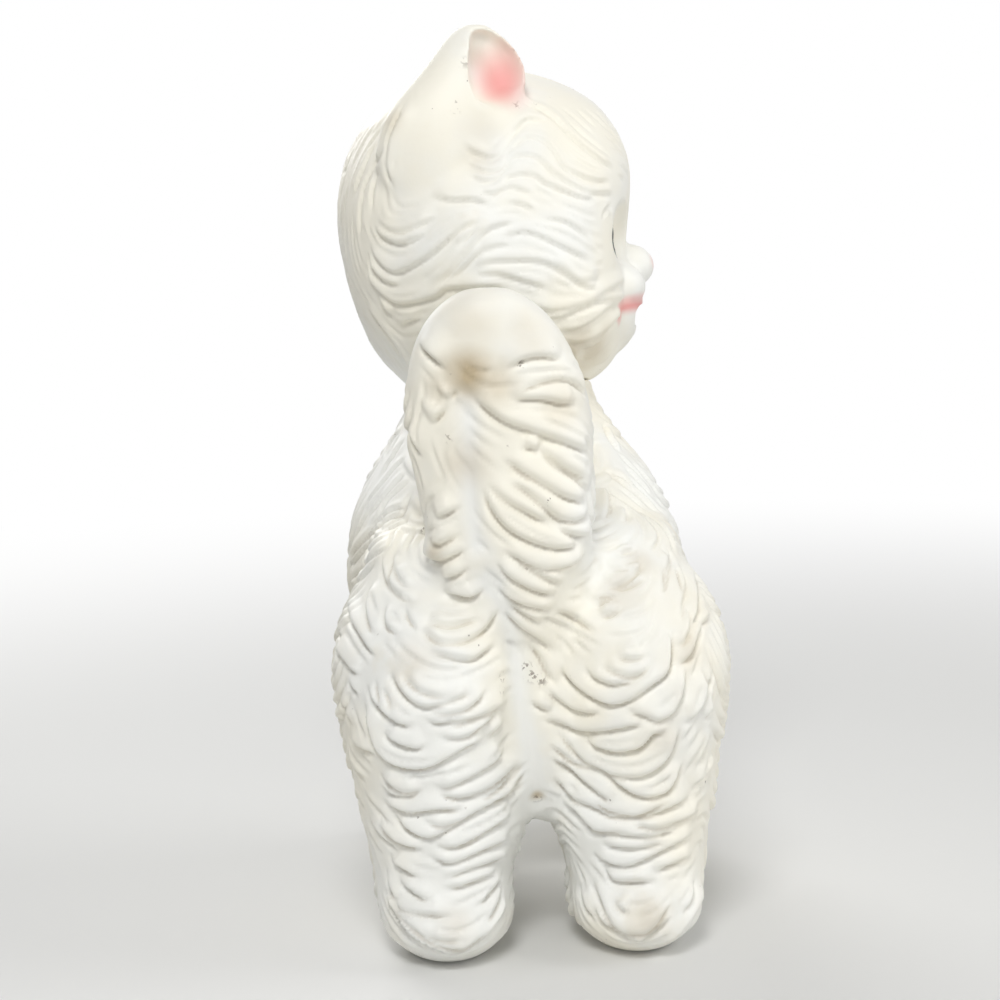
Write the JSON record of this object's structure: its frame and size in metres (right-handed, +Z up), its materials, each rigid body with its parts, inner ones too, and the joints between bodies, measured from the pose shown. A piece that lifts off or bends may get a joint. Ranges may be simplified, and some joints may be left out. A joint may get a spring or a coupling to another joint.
{
  "type": "kitten figure",
  "caption": "Hollow moulded standing kitten with an upright tail and a head that turns on its neck, with a whistle in the belly.",
  "frame": {"origin": "centre of the figure's box on the floor, under the belly", "axes": "+Z up; the kitten's body faces -Y and its left side is +X; at rest the head is turned to face -X"},
  "size_m": [0.0898, 0.1128, 0.2061],
  "materials": {
    "body_rubber": "satin, cream white, moulded fur",
    "head_rubber": "satin, cream white, pink airbrushed ears and mouth",
    "whistle_metal": "plain, dulled",
    "reed_bed_plastic": "plain",
    "reed_brass": "plain"
  },
  "bodies": {
    "body": {"body_shell": "body_rubber", "whistle_case": "whistle_metal", "whistle_reed_bed": "reed_bed_plastic", "whistle_reed": "reed_brass"},
    "head": {"head_shell": "head_rubber"}
  },
  "joints": [
    {"name": "head_turn", "type": "hinge", "parent": "body", "child": "head", "pos_m": [0.002, -0.0133, 0.122], "axis": [0, -0.1392, 0.9903], "continuous": true}
  ]
}
